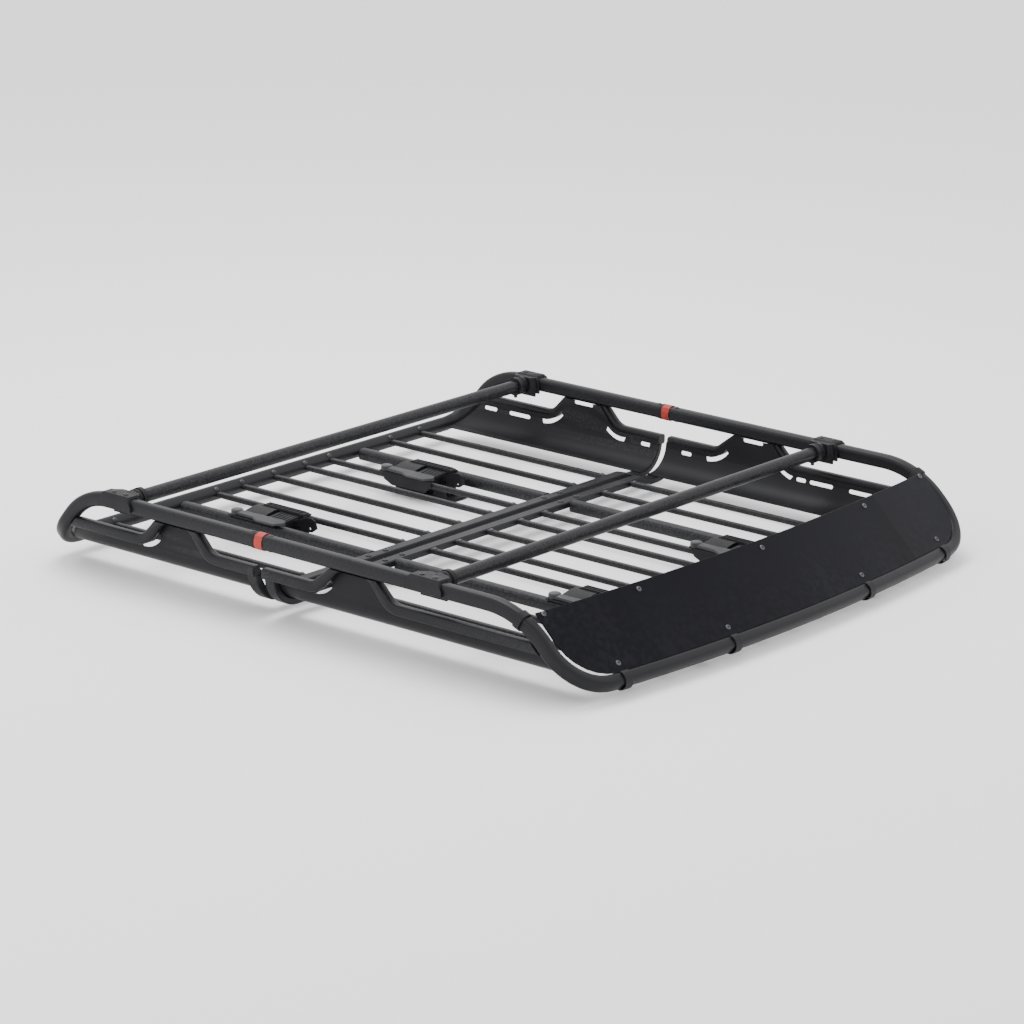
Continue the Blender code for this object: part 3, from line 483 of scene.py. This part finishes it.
for hand, side in HANDS.items():
    bm = bmesh.new()
    collar(bm, side * RAIL_X, SPLIT_Y + COLLAR_Y[0], SPLIT_Y + COLLAR_Y[1], COLLAR_WALL)
    add_piece(f"coupler_collars_{hand}", bm, "black_casting", "frame", bevel=0.0004)
    bm = bmesh.new()
    for y in COUPLER_SCREW_Y:
        above = (side * RAIL_X, SPLIT_Y + y, TUBE_TOP)
        below = (side * RAIL_X, SPLIT_Y + y, RAIL_Z - TUBE_TALL / 2)
        button_head(bm, Matrix.Translation(above), *COUPLER_SCREW)
        button_head(bm, facing(below, (0, 0, -1)), *COUPLER_SCREW)
    add_piece(f"coupler_screws_{hand}", bm, "black_zinc", "frame")

for place, y in BAR_Y.items():
    screws = bmesh.new()
    rings = bmesh.new()
    for side in HANDS.values():
        for step in (-BRACKET_SCREW_STEP, BRACKET_SCREW_STEP):
            seat = (side * RAIL_X, SPLIT_Y + y + step, SADDLE_TOP)
            button_head(screws, Matrix.Translation(seat), *BRACKET_SCREW)
        under = Matrix.Translation((side * SOCKET_SCREW_X, SPLIT_Y + y, RAIL_Z - SOCKET_SCREW_DROP))
        lathe(screws, SOCKET_SCREW, under @ Matrix.Rotation(math.pi, 4, "X"), 16)
        socket = facing(Vector((side * SOCKET_RING_X, SPLIT_Y + y, RAIL_Z)), Vector((side, 0, 0)))
        lathe(rings, SOCKET_RING, socket, 40)
    add_piece(f"{place}_bracket_screws", screws, "black_zinc", f"{place}_load_bar")
    add_piece(f"{place}_socket_rings", rings, "black_casting", f"{place}_load_bar")

# --- Clamp ribs ---------------------------------------------------------------------------------------
LEDGE_TOP = DECK_Z + 0.0160
LEDGE_RIBS_X, LEDGE_RIB_HALF = (0.0175, 0.0255, 0.0335), 0.0014
FRONT_BAR_PLACE = Vector((0.0255, -0.0290, DECK_Z + 0.0130))  # a short round bar across the ledge's front end
FRONT_BAR = ((0.0036, -0.0095), (0.0040, -0.0085), (0.0040, 0.0085), (0.0036, 0.0095))
GRIP_FIRST_Y, GRIP_STEP, GRIP_WIDE, GRIP_COUNT = -0.0210, 0.0085, 0.0026, 5
GRIP_OUTLINE = (
    (-0.0280, 0.0078), (0.0020, 0.0112), (0.0130, 0.0112),
    (0.0130, 0.0128), (0.0020, 0.0128), (-0.0280, 0.0096),
)
for place, y in CLAMP_Y.items():
    sign = HANDS[place.split("_")[1]]
    centre = Vector((sign * CLAMP_X, SPLIT_Y + y, 0))
    bm = bmesh.new()
    for x in LEDGE_RIBS_X:
        block(bm, centre + Vector((x - LEDGE_RIB_HALF, -0.0240, LEDGE_TOP - 0.0004)),
              centre + Vector((x + LEDGE_RIB_HALF, 0.0690, LEDGE_TOP + 0.0015)))
    lathe(bm, FRONT_BAR, facing(centre + FRONT_BAR_PLACE, Vector((1, 0, 0))), 20)
    for step in range(GRIP_COUNT):
        low = centre.y + GRIP_FIRST_Y + GRIP_STEP * step
        prism(bm, GRIP_OUTLINE, low, low + GRIP_WIDE, lambda u, v, w: (centre.x + u, w, DECK_Z + v))
    add_piece(f"clamp_ribs_{place}", bm, "black_casting", f"{place}_clamp", bevel=0.0003)


# --- Stage, lights and camera -------------------------------------------------------------------------
def stage_material(name, colour, roughness):
    mat = bpy.data.materials.new(name)
    mat.use_nodes = True
    tree = mat.node_tree
    shader = tree.nodes["Principled BSDF"]
    shader.inputs["Roughness"].default_value = roughness
    shader.inputs["Specular IOR Level"].default_value = 0.2
    noise = tree.nodes.new("ShaderNodeTexNoise")
    noise.inputs["Scale"].default_value = 3.0
    ramp = tree.nodes.new("ShaderNodeValToRGB")
    ramp.color_ramp.elements[0].color = (*[c * 0.985 for c in colour], 1)
    ramp.color_ramp.elements[1].color = (*colour, 1)
    tree.links.new(noise.outputs["Fac"], ramp.inputs["Fac"])
    tree.links.new(ramp.outputs["Color"], shader.inputs["Base Color"])
    return mat


FLOOR_HALF = 14.0


def make_stage():
    bm = bmesh.new()
    turns = ((-1, -1), (1, -1), (1, 1), (-1, 1))
    bm.faces.new([bm.verts.new((FLOOR_HALF * x, FLOOR_HALF * y, 0)) for x, y in turns])
    mesh = bpy.data.meshes.new("floor")
    bm.to_mesh(mesh)
    bm.free()
    floor = bpy.data.objects.new("floor", mesh)
    bpy.context.scene.collection.objects.link(floor)
    mesh.materials.append(stage_material("pale_floor", (0.95, 0.95, 0.95), 0.8))
    world = bpy.data.worlds.new("studio")
    world.use_nodes = True
    world.node_tree.nodes["Background"].inputs["Color"].default_value = (1.0, 1.0, 1.0, 1)
    world.node_tree.nodes["Background"].inputs["Strength"].default_value = 1.7
    bpy.context.scene.world = world


def area_light(name, place, target, size, power):
    data = bpy.data.lights.new(name, "AREA")
    data.shape = "RECTANGLE"
    data.size, data.size_y = size
    data.energy = power
    light = bpy.data.objects.new(name, data)
    bpy.context.scene.collection.objects.link(light)
    light.location = place
    light.rotation_euler = (Vector(place) - Vector(target)).to_track_quat("Z", "Y").to_euler()


# The camera's solved place and turn, with the target on the basket's own axes.
CAMERA_TURN = math.radians(-51.1532)
CAMERA_LIFT = math.radians(16.5761)
CAMERA_ROLL = math.radians(1.1472)
CAMERA_AIM = Vector((0.132, 0.0168 + SPLIT_Y, DECK_Z))
CAMERA_DISTANCE = 7.6003
CAMERA_LENS = 138.54


def make_camera():
    back = Vector((
        math.sin(CAMERA_TURN) * math.cos(CAMERA_LIFT),
        -math.cos(CAMERA_TURN) * math.cos(CAMERA_LIFT),
        math.sin(CAMERA_LIFT),
    ))
    level = Vector((math.cos(CAMERA_TURN), math.sin(CAMERA_TURN), 0))
    above = back.cross(level)
    right = level * math.cos(CAMERA_ROLL) + above * math.sin(CAMERA_ROLL)
    up = above * math.cos(CAMERA_ROLL) - level * math.sin(CAMERA_ROLL)
    data = bpy.data.cameras.new("camera")
    data.lens = CAMERA_LENS
    data.sensor_width = 36.0
    camera = bpy.data.objects.new("camera", data)
    bpy.context.scene.collection.objects.link(camera)
    turn = Matrix((right, up, back)).transposed().to_4x4()
    camera.matrix_world = Matrix.Translation(CAMERA_AIM + back * CAMERA_DISTANCE) @ turn
    bpy.context.scene.camera = camera


make_stage()
make_camera()
area_light("overhead", (0.4, 0.9, 3.2), (0, 0, 0), (2.0, 2.0), 90)
area_light("left_side", (-3.6, 0.4, 1.8), (0, 0, 0.05), (2.6, 1.0), 25)
